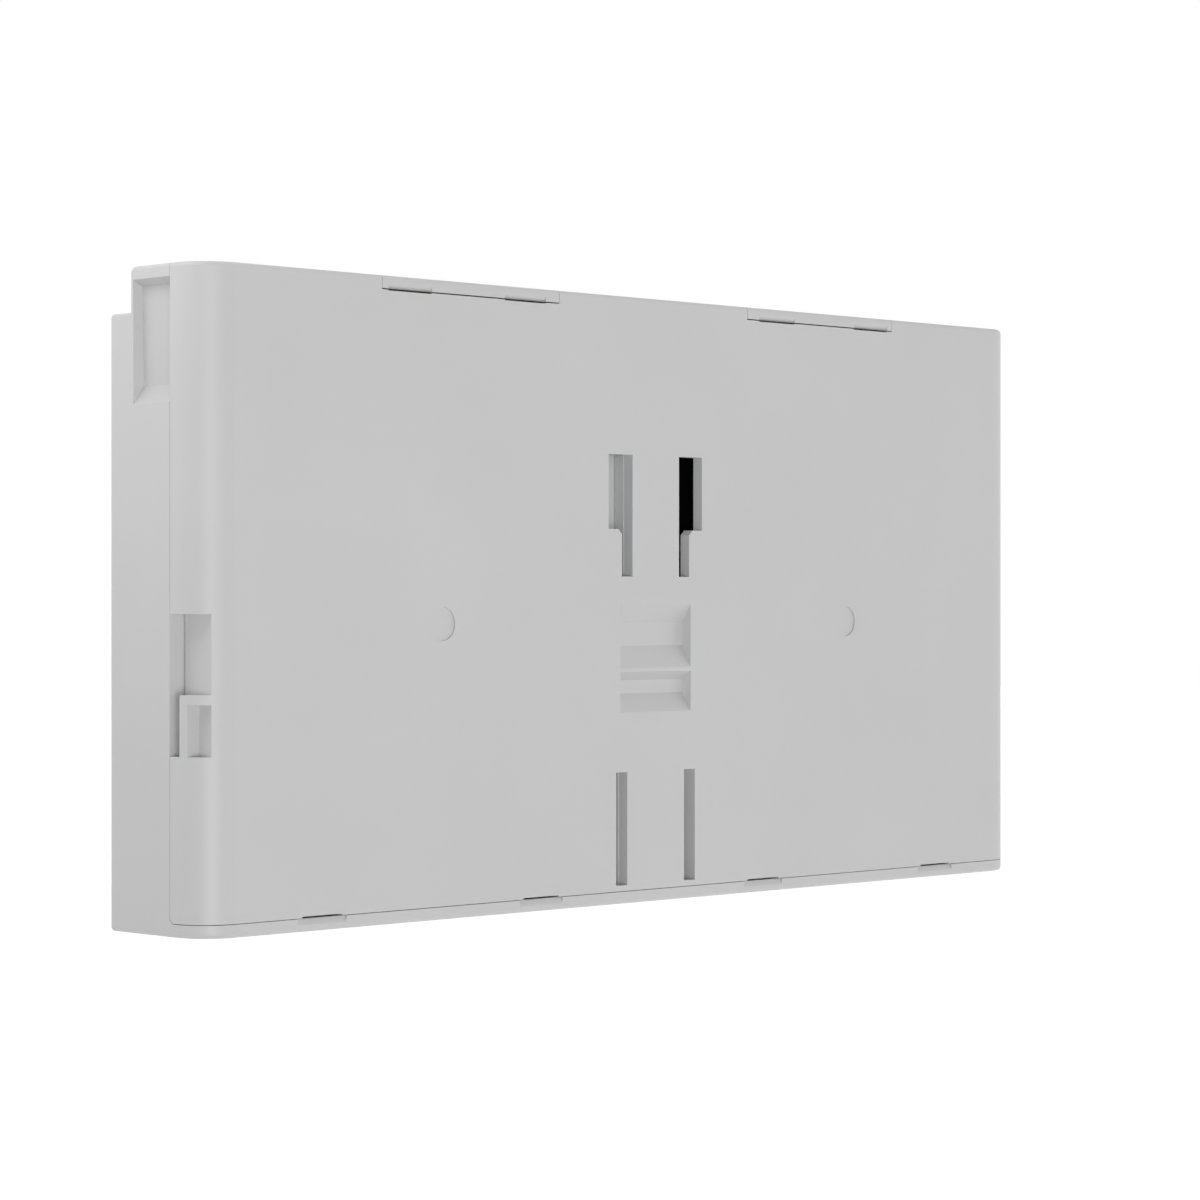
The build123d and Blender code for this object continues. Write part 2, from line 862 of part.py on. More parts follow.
def make_cell_holder(bottom):
    reach = cell_radius + holder_wall
    heights = (bottom, bottom + holder_height)
    holder = block(pack_ends(), (cell_depth - reach, cell_depth + reach), heights)
    holder = fillet(holder.edges().filter_by(Axis.Z), reach * 0.4)
    for x in cell_columns():
        through = (bottom - 1, bottom + holder_height + 1)
        holder -= rod_upright(x, cell_depth, cell_radius + holder_clearance, through)
    return holder


def strip_spans():
    """X ranges of the strips under the first and the second half of the cells."""
    columns = cell_columns()
    half = cells_per_row // 2
    first = (columns[0] - strip_overrun, columns[half - 1] + strip_overrun)
    second = (columns[half] - strip_overrun, columns[-1] + strip_overrun)
    return first, second


def strip_plate(x_range, z_range):
    depths = (cell_depth - strip_half_width, cell_depth + strip_half_width)
    return block(x_range, depths, z_range)


def make_strips():
    """Nickel strips: pack minus and plus at the bottom, row links in the middle, one across the top."""
    first, second = strip_spans()
    lower_bottom, upper_bottom = row_bottoms()
    lower_top = lower_bottom + cell_length
    upper_top = upper_bottom + cell_length
    below = (lower_bottom - strip_thickness, lower_bottom)
    flap_z = (lower_bottom - strip_flap, lower_bottom)
    reach = strip_flap_half_width
    strips = {}
    for name, span, lead_depth in (("minus", first, minus_lead_depth), ("plus", second, plus_lead_depth)):
        flap = block((span[0], span[0] + strip_thickness), (lead_depth - reach, lead_depth + reach), flap_z)
        arm_depths = (min(cell_depth, lead_depth) - reach, max(cell_depth, lead_depth) + reach)
        arm = block((span[0], span[0] + 2 * reach), arm_depths, below)
        strips[f"strip_pack_{name}"] = strip_plate(span, below) + arm + flap
    fold = (cell_depth + strip_half_width - strip_thickness, cell_depth + strip_half_width)
    for name, span in (("minus", first), ("plus", second)):
        link = strip_plate(span, (lower_top, lower_top + strip_thickness))
        link += strip_plate(span, (upper_bottom - strip_thickness, upper_bottom))
        link += block(span, fold, (lower_top, upper_bottom))
        strips[f"strip_row_link_{name}"] = link
    across = (first[0], second[1])
    strips["strip_top_link"] = strip_plate(across, (upper_top, upper_top + strip_thickness))
    return strips


def make_cell_pad():
    low_x, high_x = pack_ends()
    heights = holder_heights()
    return block(
        (low_x + pad_margin, high_x - pad_margin),
        (wall, wall + pad_thickness),
        (heights[0], heights[3] + holder_height),
    )


def board(x_range, z_range, rear, thickness, holes):
    """Circuit board with clearance holes for its screws."""
    plate = block(x_range, (rear, rear + thickness), z_range)
    plate = fillet(plate.edges().filter_by(Axis.Y), board_corner)
    for x, z in holes:
        plate -= rod_in_depth(x, z, screw_radius + screw_hole_clearance, (rear - 1, rear + thickness + 1))
    return plate


def make_management_board():
    return board(
        centred_range(pack_centre_x, management_board_size[0]),
        centred_range(management_board_z, management_board_size[1]),
        management_rear(),
        board_thickness,
        management_boss_places(),
    )


def make_management_transistors():
    """Row of flat power transistors on the cell side of the management board."""
    z = management_board_z + management_chip_rise + management_chip[2] / 2
    chips = []
    for index in range(management_chip_count):
        x = pack_centre_x + (index - (management_chip_count - 1) / 2) * management_chip_pitch
        chips.append(on_board(x, z, management_chip, management_rear()))
    return Compound(chips)


# ---------------------------------------------------------------- electronics
def jack_axis_depth():
    return main_board_rear - jack_thickness / 2


def usb_axis_depth():
    return main_board_rear - usb_thickness / 2


def isolator_axis_depth():
    return main_board_rear - isolator_body[1] / 2


def make_main_board():
    return board(
        centred_range(main_board_x, main_board_size[0]),
        (main_board_bottom, main_board_bottom + main_board_size[1]),
        main_board_rear,
        board_thickness,
        board_boss_places(),
    )


def make_jack(x):
    """Barrel socket: a moulded body behind the floor and a round nose in its hole."""
    axis = jack_axis_depth()
    body_depths = (main_board_rear - jack_thickness, main_board_rear)
    body = block(centred_range(x, jack_width), body_depths, (floor_z, floor_z + jack_height))
    nose_z = -half_height + nose_recess
    bore_top = nose_z + jack_bore_depth
    body += rod_upright(x, axis, jack_nose_radius, (nose_z, floor_z + boss_root))
    body -= rod_upright(x, axis, jack_bore_radius, (nose_z - 1, bore_top))
    return body + rod_upright(x, axis, jack_pin_radius, (nose_z + jack_pin_recess, bore_top + boss_root))


def make_usb_socket():
    depth = usb_axis_depth()
    low = -half_height + nose_recess
    shell_z = (low, low + usb_length)
    shell = block(centred_range(usb_x, usb_width), centred_range(depth, usb_thickness), shell_z)
    shell = fillet(shell.edges().filter_by(Axis.Z), usb_thickness / 2 - 0.3)
    inner_width = usb_width - 2 * usb_wall
    inner_thickness = usb_thickness - 2 * usb_wall
    mouth_z = (low - 1, low + usb_length - 1)
    mouth = block(centred_range(usb_x, inner_width), centred_range(depth, inner_thickness), mouth_z)
    shell -= fillet(mouth.edges().filter_by(Axis.Z), inner_thickness / 2 - 0.2)
    width, thickness, length = usb_tongue
    tongue_z = (low + 1, low + 1 + length)
    return shell + block(centred_range(usb_x, width), centred_range(depth, thickness), tongue_z)


def make_isolator():
    """Slide switch: fixed body on the board and a slider that reaches into the floor slot."""
    width, thickness, height = isolator_body
    axis = isolator_axis_depth()
    body_low = floor_z + isolator_clearance
    body_z = (body_low, body_low + height)
    body = block(centred_range(isolator_x, width), centred_range(axis, thickness), body_z)
    track = isolator_knob_width + isolator_travel + 2 * isolator_clearance
    body -= block(
        centred_range(isolator_x, track),
        centred_range(axis, isolator_knob_depth + 2 * isolator_clearance),
        (floor_z - 1, floor_z + isolator_track_depth),
    )
    off_x = isolator_x - isolator_travel / 2
    knob_low = -half_height + nose_recess
    knob = block(
        centred_range(off_x, isolator_knob_width),
        centred_range(axis, isolator_knob_depth),
        (knob_low, floor_z + isolator_knob_reach),
    )
    groove_width, groove_depth = isolator_grip_groove
    for step in (-1, 0, 1):
        knob -= block(
            centred_range(off_x + step * isolator_grip_pitch, groove_width),
            centred_range(axis, isolator_knob_depth + 1),
            (knob_low - 1, knob_low + groove_depth),
        )
    return body, knob


def make_heat_sink():
    """Finned extrusion standing off the main board."""
    heights = (main_board_bottom + sink_rise, main_board_bottom + sink_rise + sink_length)
    sink = block(sink_x, (main_board_rear - sink_base, main_board_rear), heights)
    pitch = (sink_x[1] - sink_x[0] - sink_fin) / (sink_fins - 1)
    for index in range(sink_fins):
        x = sink_x[0] + index * pitch
        fin_depths = (main_board_rear - sink_height, main_board_rear - sink_base + 0.1)
        sink += block((x, x + sink_fin), fin_depths, heights)
    return sink


def make_sink_transistors():
    """Flat-pack transistors clamped against the side of the heat sink."""
    first_z = main_board_bottom + sink_rise + sink_pack_margin + sink_pack[2] / 2
    x = sink_x[1] + sink_pack[0] / 2
    heights = [first_z + row * sink_pack_pitch for row in range(sink_pack_count)]
    return Compound([on_board(x, z, sink_pack, main_board_rear) for z in heights])


def make_transformer():
    """Ferrite frame with a middle limb, and the bobbin wound round that limb."""
    width, depth, height = transformer_frame
    x = transformer_x
    z = main_board_bottom + transformer_rise
    foot_rear = main_board_rear - transformer_foot
    rear = main_board_rear - depth
    inside = (width - 2 * transformer_limb, height - 2 * transformer_limb)
    frame = block(centred_range(x, width), (rear, foot_rear), centred_range(z, height))
    frame -= block(centred_range(x, inside[0]), (rear - 1, main_board_rear), centred_range(z, inside[1]))
    core_x = centred_range(x, transformer_core_width)
    core = block(core_x, (rear, foot_rear), centred_range(z, inside[1] + 1))
    foot_size = (width - 4, transformer_foot, height - 4)
    foot = on_board(x, z, foot_size, main_board_rear)
    gap = 2 * winding_clearance
    winding = block(
        centred_range(x, inside[0] - gap),
        (rear + transformer_foot, foot_rear - transformer_foot),
        centred_range(z, inside[1] - gap),
    )
    hole_x = centred_range(x, transformer_core_width + gap)
    hole = block(hole_x, (rear, main_board_rear), centred_range(z, height))
    return frame + core + foot, winding - hole


def make_choke():
    """Toroid choke lying flat on the board."""
    z = main_board_bottom + choke_rise
    rear = main_board_rear - choke_thickness
    ring = rod_in_depth(choke_x, z, choke_radius, (rear, main_board_rear))
    ring -= rod_in_depth(choke_x, z, choke_hole_radius, (rear - 1, main_board_rear + 1))
    return fillet(ring.edges().filter_by(GeomType.CIRCLE), choke_rounding)


def make_capacitor(x, rise):
    """Tall capacitor with a rolled neck near its foot."""
    z = main_board_bottom + rise
    up, width, sunk = capacitor_neck
    can = rod_in_depth(x, z, capacitor_radius, (main_board_rear - capacitor_height, main_board_rear))
    can = fillet(can.edges().group_by(Axis.Y)[-1], 2 * sunk)
    neck = rod_in_depth(x, z, capacitor_radius + 1, (main_board_rear - up - width, main_board_rear - up))
    neck -= rod_in_depth(x, z, capacitor_radius - sunk, (main_board_rear - up - 2 * width, main_board_rear))
    return can - neck


def make_relay():
    case = on_board(relay_x, main_board_bottom + relay_rise, relay_size, main_board_rear)
    return fillet(case.edges().filter_by(Axis.Y), 1.0)


def fuse_z():
    return main_board_bottom + fuse_rise


def make_fuse_holder():
    """Moulded base with a clip at each end that the fuse lies in."""
    holder = on_board(fuse_x, fuse_z(), fuse_base, main_board_rear)
    reach = fuse_base[0] / 2 - fuse_clip_inset - fuse_clip[0] / 2
    for side in (-1, 1):
        holder += on_board(fuse_x + side * reach, fuse_z(), fuse_clip, main_board_rear)
    through = centred_range(fuse_x, fuse_base[0] + 2)
    axis_depth = main_board_rear - fuse_axis_height
    return holder - rod_along_x(through, axis_depth, fuse_z(), fuse_radius + fuse_clearance)


def make_fuse():
    span = centred_range(fuse_x, fuse_length)
    return rod_along_x(span, main_board_rear - fuse_axis_height, fuse_z(), fuse_radius)


def terminal_low():
    return main_board_bottom + terminal_rise


def terminal_ways():
    """X of each way of the terminal with the depth of the lead that lands in it."""
    reach = lead_pitch / 2
    return (terminal_x + reach, minus_lead_depth), (terminal_x - reach, plus_lead_depth)


def make_terminal():
    """Two-way screw terminal where the battery leads land."""
    low = terminal_low()
    middle = low + terminal_size[2] / 2
    body = on_board(terminal_x, middle, terminal_size, main_board_rear)
    rear = main_board_rear - terminal_size[1]
    for x, depth in terminal_ways():
        body -= rod_upright(x, depth, lead_radius + lead_clearance, (low - 1, low + terminal_entry))
        screw_hole = (rear - 1, rear + terminal_screw_depth)
        body -= rod_in_depth(x, middle + terminal_entry / 3, terminal_screw_radius, screw_hole)
    return body


def make_lead(start_x, way):
    """Insulated lead: along the floor, through the spine's passage and up into the terminal."""
    end_x, depth = way
    top = terminal_low() + terminal_entry - lead_overlap
    points = [(start_x, -depth, lead_z), (end_x, -depth, lead_z), (end_x, -depth, top)]
    path = FilletPolyline(*points, radius=lead_bend)
    section = Plane(origin=path @ 0, z_dir=path % 0) * Circle(lead_radius)
    return sweep(section, path=path)


def make_insulating_sheet():
    """Thin folded sheet: flat against the back wall and turned in beside the hook space."""
    low = floor_z + sheet_margins[0]
    top = main_board_bottom + main_board_size[1] + 2
    flat = block((sheet_outer_x, sheet_fold_x), (wall, wall + sheet_thickness), (low, top))
    turned = block(
        (sheet_fold_x - sheet_thickness, sheet_fold_x),
        (wall, main_board_rear - sheet_front_gap),
        (terminal_low() - lead_bend + 3, top),
    )
    return flat + turned


# ---------------------------------------------------------------- front controls
def button_places():
    return [(power_button_x, power_button_radius), (mute_button_x, mute_button_radius)]


def bezel_plate(clearance, rear, front):
    """Rounded plate in the front face that carries the controls."""
    width = bezel_x[1] - bezel_x[0] - 2 * clearance
    x_range = centred_range(sum(bezel_x) / 2, width)
    plate = block(x_range, (rear, front), centred_range(control_z, bezel_height - 2 * clearance))
    return fillet(plate.edges().filter_by(Axis.Y), bezel_radius - clearance)


def window_block(grow, depths):
    """The rounded window's shape, grown all round."""
    width, height = window_size
    solid = block(
        centred_range(window_centre_x, width + 2 * grow),
        depths,
        centred_range(control_z, height + 2 * grow),
    )
    return fillet(solid.edges().filter_by(Axis.Y), height / 2 - 0.1)


def make_bezel():
    plate = bezel_plate(bezel_clearance, body_depth - bezel_thickness, body_depth)
    through = (inner_front, body_depth + 1)
    for x, radius in button_places():
        plate -= rod_in_depth(x, control_z, radius + button_clearance, through)
    return plate - window_block(window_clearance, through)


def button_flange_rear():
    return inner_front - button_flange_gap - button_flange_thickness


def make_button(x, radius):
    """Push button with a dished face, a flange behind the wall and a stem over its switch."""
    face = body_depth - button_recess
    flange_front = inner_front - button_flange_gap
    flange_rear = button_flange_rear()
    button = rod_in_depth(x, control_z, radius, (flange_front - 0.1, face))
    button = fillet(button.edges().group_by(Axis.Y)[0], button_rim)
    button += rod_in_depth(x, control_z, radius + button_flange, (flange_rear, flange_front))
    button += rod_in_depth(x, control_z, button_stem_radius, (flange_rear - button_stem, flange_rear + 0.1))
    dish_reach = radius * button_dish_share
    dish_radius = (dish_reach**2 + button_dish**2) / (2 * button_dish)
    return button - Pos(x, -face - dish_radius + button_dish, control_z) * Sphere(dish_radius)


def status_front():
    """Front face of the status board, where its switches and LEDs stand."""
    return status_board_rear + status_board_thickness


def make_button_spring(x):
    """Coil spring between the status board and the button's flange."""
    rear = status_front() + spring_wire
    front = button_flange_rear() - spring_wire
    coil = Helix(pitch=(front - rear) / spring_turns, height=front - rear, radius=spring_radius)
    section = Plane(origin=coil @ 0, z_dir=coil % 0) * Circle(spring_wire)
    spring = sweep(section, path=coil)
    return Pos(x, -rear, control_z) * Rot(90, 0, 0) * spring


def make_push_switch(x):
    rear = status_front()
    width, thickness, height = switch_size
    body = block(centred_range(x, width), (rear, rear + thickness), centred_range(control_z, height))
    radius, reach = switch_plunger
    return body + rod_in_depth(x, control_z, radius, (rear + thickness - 0.1, rear + thickness + reach))


def make_status_board():
    heights = centred_range(control_z, status_board_height)
    holes = [(x, control_z) for x in status_boss_x]
    return board(status_board_x, heights, status_board_rear, status_board_thickness, holes)


def led_places():
    return [window_centre_x + (index - (led_count - 1) / 2) * led_pitch for index in range(led_count)]


def make_leds():
    width, thickness, height = led_size
    depths = (status_front(), status_front() + thickness)
    heights = centred_range(control_z, height)
    return Compound([block(centred_range(x, width), depths, heights) for x in led_places()])


def make_window():
    return window_block(0, (body_depth - window_depth, body_depth))


def make_light_guide():
    """Clear bar behind the window with one peg over each LED."""
    width, thickness, height = guide_bar
    front = body_depth - window_depth
    rear = status_front() + led_size[1] + guide_gap
    bar_depths = (front - thickness, front)
    guide = block(centred_range(window_centre_x, width), bar_depths, centred_range(control_z, height))
    for x in led_places():
        guide += rod_in_depth(x, control_z, guide_peg_radius, (rear, front - thickness + 0.1))
    return guide


# ---------------------------------------------------------------- all nodes
spine_screws = [screw(0, z, spine_screw_seat(), screw_length) for z in spine_screw_heights]
nodes = {
    "front_housing": make_front_housing(),
    "rear_cover": make_rear_cover(),
    "centre_spine": make_centre_spine(),
    "spine_screws": Compound(spine_screws),
    "board_screws": Compound(make_board_screws()),
    "cell_pad": make_cell_pad(),
    "management_board": make_management_board(),
    "management_transistors": make_management_transistors(),
    "main_board": make_main_board(),
    "lead_terminal": make_terminal(),
    "heat_sink": make_heat_sink(),
    "sink_transistors": make_sink_transistors(),
    "choke": make_choke(),
    "relay": make_relay(),
    "fuse_holder": make_fuse_holder(),
    "fuse": make_fuse(),
    "insulating_sheet": make_insulating_sheet(),
    "usb_outlet": make_usb_socket(),
    "control_bezel": make_bezel(),
    "status_window": make_window(),
    "light_guide": make_light_guide(),
    "status_leds": make_leds(),
    "status_board": make_status_board(),
    "power_button": make_button(power_button_x, power_button_radius),
    "mute_button": make_button(mute_button_x, mute_button_radius),
    "power_button_spring": make_button_spring(power_button_x),
    "mute_button_spring": make_button_spring(mute_button_x),
    "push_switches": Compound([make_push_switch(x) for x, _ in button_places()]),
    "capacitors": Compound([make_capacitor(x, rise) for x, rise in capacitor_places]),
}
nodes.update(make_cells())
nodes.update(make_strips())
for number, bottom in enumerate(holder_heights(), start=1):
    nodes[f"cell_holder_{number}"] = make_cell_holder(bottom)
nodes["transformer_core"], nodes["transformer_winding"] = make_transformer()
nodes["isolator_body"], nodes["isolator_slider"] = make_isolator()
for name, x in zip(("dc_inlet", "dc_outlet_1", "dc_outlet_2"), jack_positions):
    nodes[name] = make_jack(x)
for name, span, way in zip(("minus_lead", "plus_lead"), strip_spans(), terminal_ways()):
    nodes[name] = make_lead(span[0], way)

os.makedirs("parts", exist_ok=True)
for name, shape in nodes.items():
    export_step(shape, f"parts/{name}.step")
print(len(nodes), "nodes")
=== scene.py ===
import json
import math

import bpy
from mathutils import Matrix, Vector


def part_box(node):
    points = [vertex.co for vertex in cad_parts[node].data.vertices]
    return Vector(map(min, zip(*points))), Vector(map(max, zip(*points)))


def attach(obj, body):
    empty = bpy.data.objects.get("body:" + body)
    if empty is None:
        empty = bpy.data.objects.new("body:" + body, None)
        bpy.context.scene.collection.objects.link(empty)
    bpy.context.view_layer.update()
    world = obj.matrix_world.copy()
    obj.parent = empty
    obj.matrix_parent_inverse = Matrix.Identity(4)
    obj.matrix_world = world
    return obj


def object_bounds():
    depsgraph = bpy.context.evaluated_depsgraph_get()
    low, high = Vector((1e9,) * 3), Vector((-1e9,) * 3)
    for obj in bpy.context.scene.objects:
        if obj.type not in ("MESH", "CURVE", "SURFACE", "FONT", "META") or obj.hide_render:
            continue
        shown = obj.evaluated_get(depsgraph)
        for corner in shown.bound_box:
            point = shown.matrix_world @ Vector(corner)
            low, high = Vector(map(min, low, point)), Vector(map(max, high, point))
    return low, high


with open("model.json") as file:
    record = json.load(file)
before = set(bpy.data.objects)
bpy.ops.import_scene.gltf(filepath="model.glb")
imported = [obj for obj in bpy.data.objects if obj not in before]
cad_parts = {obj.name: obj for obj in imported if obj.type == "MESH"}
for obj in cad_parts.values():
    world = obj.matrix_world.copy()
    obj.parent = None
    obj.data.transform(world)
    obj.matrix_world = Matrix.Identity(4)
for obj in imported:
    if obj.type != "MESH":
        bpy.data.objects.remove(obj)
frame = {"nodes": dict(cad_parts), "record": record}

CAD_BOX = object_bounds()
LOW, HIGH = CAD_BOX
MIDDLE = (LOW + HIGH) / 2
MM = 0.001

# Finishes.
PLASTIC_GRAIN = 0.22 * MM
GRAIN_DEPTH = 0.012 * MM
FLOW_CLOUDS = 0.015
NOISE_RANGE = (0.25, 0.75)
TONE_STOPS = (0.3, 0.7)

# Small pieces.
UPRIGHT = (0, 0, 0)
OUT_OF_WALL = (math.radians(90), 0, 0)
ALONG_X = (0, math.radians(90), 0)
SMOOTH_UNDER = math.radians(30)
DISH_DROP = 0.25 * MM
MARK_WIRE = 0.13 * MM
RING_DROP = 0.6 * MM
CELLS_PER_ROW = 6
PLUS_UP_CELLS = 3

# Studio, in metres and degrees.
FLOOR_WIDTH = 60
FLOOR_DROP = 0.9
FLOOR_FADE = 0.6
FLOOR_WHITE = 0.94
FLOOR_GLOW = 0.42
PATCH_EDGE = (3.0, 4.5)
PATCH_GREY = 0.4
AIR_FALL = 0.5
AIR_LOW = 0.02
AIR_RISE = (0.05, 0.23)
LIT_SIDE = 45


# ---------------------------------------------------------------- material helpers
def new_finish(name):
    """A node material with its shader and the object's own coordinates."""
    material = bpy.data.materials.new(name)
    material.use_nodes = True
    nodes = material.node_tree.nodes
    shader = nodes["Principled BSDF"]
    place = nodes.new("ShaderNodeTexCoord")
    return material, shader, place.outputs["Object"]


def link(material, source, target):
    material.node_tree.links.new(source, target)


def noise(material, place, scale, detail=3.0, roughness=0.5):
    node = material.node_tree.nodes.new("ShaderNodeTexNoise")
    node.inputs["Scale"].default_value = scale
    node.inputs["Detail"].default_value = detail
    node.inputs["Roughness"].default_value = roughness
    link(material, place, node.inputs["Vector"])
    return node.outputs["Fac"]


def stretched(material, place, factors):
    node = material.node_tree.nodes.new("ShaderNodeMapping")
    node.inputs["Scale"].default_value = factors
    link(material, place, node.inputs["Vector"])
    return node.outputs["Vector"]


def ramp(material, value, stops):
    """Colour ramp with (position, grey or colour) stops."""
    node = material.node_tree.nodes.new("ShaderNodeValToRGB")
    band = node.color_ramp
    while len(band.elements) < len(stops):
        band.elements.new(1.0)
    for element, (position, colour) in zip(band.elements, stops):
        element.position = position
        channels = colour if isinstance(colour, tuple) else (colour, colour, colour)
        element.color = (*channels, 1.0)
    link(material, value, node.inputs["Fac"])
    return node.outputs["Color"]


def spread(material, value, low, high):
    """Noise mapped to a range of numbers."""
    node = material.node_tree.nodes.new("ShaderNodeMapRange")
    node.inputs["From Min"].default_value = NOISE_RANGE[0]
    node.inputs["From Max"].default_value = NOISE_RANGE[1]
    node.inputs["To Min"].default_value = low
    node.inputs["To Max"].default_value = high
    link(material, value, node.inputs["Value"])
    return node.outputs["Result"]


def bump(material, shader, height, depth):
    node = material.node_tree.nodes.new("ShaderNodeBump")
    node.inputs["Distance"].default_value = depth
    node.inputs["Strength"].default_value = 1.0
    link(material, height, node.inputs["Height"])
    link(material, node.outputs["Normal"], shader.inputs["Normal"])


def tinted(colour, factor):
    return tuple(min(channel * factor, 1.0) for channel in colour)


def paint(material, shader, pattern, stops):
    """Base colour from a colour ramp over a pattern."""
    link(material, ramp(material, pattern, stops), shader.inputs["Base Color"])


def shaded(colour, dark, light):
    """Stops from a darker to a lighter tone of one colour."""
    return [(TONE_STOPS[0], tinted(colour, dark)), (TONE_STOPS[1], tinted(colour, light))]


# ---------------------------------------------------------------- finishes
def moulded_plastic(name, colour, rough, grain=PLASTIC_GRAIN, shine=0.5):
    """Spark-eroded moulded plastic: even grain, faint flow clouding, satin to matte."""
    material, shader, place = new_finish(name)
    cloud_scale = 22.0
    clouds = noise(material, place, cloud_scale, 2.0)
    paint(material, shader, clouds, shaded(colour, 1 - FLOW_CLOUDS, 1 + FLOW_CLOUDS))
    fine = noise(material, place, 1.0 / grain, 2.0, 0.6)
    link(material, spread(material, fine, *rough), shader.inputs["Roughness"])
    bump(material, shader, fine, GRAIN_DEPTH)
    shader.inputs["IOR"].default_value = 1.5
    shader.inputs["Specular IOR Level"].default_value = shine
    return material


def glossy_plastic(name, colour, rough=(0.12, 0.2)):
    material, shader, place = new_finish(name)
    cloud_scale = 60.0
    fleck_scale = 900.0
    clouds = noise(material, place, cloud_scale)
    paint(material, shader, clouds, shaded(colour, 0.94, 1.06))
    flecks = noise(material, place, fleck_scale)
    link(material, spread(material, flecks, *rough), shader.inputs["Roughness"])
    return material


def metal(name, colour, rough=(0.25, 0.4), brush=(1.0, 1.0, 1.0)):
    """Metal with fine lines drawn out along the axis whose brush factor is small."""
    material, shader, place = new_finish(name)
    line_scale = 2500.0
    line_depth = 0.006 * MM
    lines = noise(material, stretched(material, place, brush), line_scale, 4.0)
    paint(material, shader, lines, shaded(colour, 0.9, 1.05))
    link(material, spread(material, lines, *rough), shader.inputs["Roughness"])
    shader.inputs["Metallic"].default_value = 1.0
    bump(material, shader, lines, line_depth)
    return material


def clear_plastic(name, colour, rough):
    material, shader, place = new_finish(name)
    haze_scale = 700.0
    haze_range = 0.05
    shader.inputs["Base Color"].default_value = (*colour, 1.0)
    shader.inputs["Transmission Weight"].default_value = 0.9
    shader.inputs["IOR"].default_value = 1.49
    haze = spread(material, noise(material, place, haze_scale), rough, rough + haze_range)
    link(material, haze, shader.inputs["Roughness"])
    return material


def circuit_board(name):
    """Green solder mask over copper tracks, with a faint glass weave."""
    material, shader, place = new_finish(name)
    weave_scale = 1800.0
    weave_depth = 0.01 * MM
    nodes = material.node_tree.nodes
    tracks = nodes.new("ShaderNodeTexBrick")
    tracks.inputs["Scale"].default_value = 160.0
    tracks.inputs["Mortar Size"].default_value = 0.035
    tracks.inputs["Color1"].default_value = (0.012, 0.105, 0.045, 1)
    tracks.inputs["Color2"].default_value = (0.014, 0.12, 0.05, 1)
    tracks.inputs["Mortar"].default_value = (0.03, 0.2, 0.09, 1)
    turned = nodes.new("ShaderNodeMapping")
    turned.inputs["Rotation"].default_value = OUT_OF_WALL
    link(material, place, turned.inputs["Vector"])
    link(material, turned.outputs["Vector"], tracks.inputs["Vector"])
    link(material, tracks.outputs["Color"], shader.inputs["Base Color"])
    bump(material, shader, noise(material, place, weave_scale), weave_depth)
    shader.inputs["Roughness"].default_value = 0.35
    return material


def foam(name, colour):
    """Open foam whose bubbles are darker in their middles, from painted shade in the hollows of the pores.
    """
    material, shader, place = new_finish(name)
    bubble_depth = 0.1 * MM
    bubbles = material.node_tree.nodes.new("ShaderNodeTexVoronoi")
    bubbles.inputs["Scale"].default_value = 2200.0
    link(material, place, bubbles.inputs["Vector"])
    distance = bubbles.outputs["Distance"]
    # Painted shade: the middle of each bubble is darker than its rim, as in the hollow of a pore.
    paint(material, shader, distance, [(0.0, tinted(colour, 0.5)), (0.6, tinted(colour, 1.2))])
    bump(material, shader, distance, bubble_depth)
    shader.inputs["Roughness"].default_value = 0.95
    return material


def wound_wire(name, colour, turn_scale):
    """Enamelled wire laid side by side, each turn above the last, with painted shade in the creases between
    turns.
    """
    material, shader, place = new_finish(name)
    turn_depth = 0.2 * MM
    turns = material.node_tree.nodes.new("ShaderNodeTexWave")
    turns.bands_direction = "Z"
    turns.inputs["Scale"].default_value = turn_scale
    turns.inputs["Distortion"].default_value = 0.4
    link(material, place, turns.inputs["Vector"])
    height = turns.outputs["Fac"]
    # Painted shade: the troughs between turns are darkened to about a third of the copper colour.
    paint(material, shader, height, [(0.0, tinted(colour, 0.35)), (0.5, colour)])
    bump(material, shader, height, turn_depth)
    shader.inputs["Metallic"].default_value = 0.6
    shader.inputs["Roughness"].default_value = 0.3
    return material


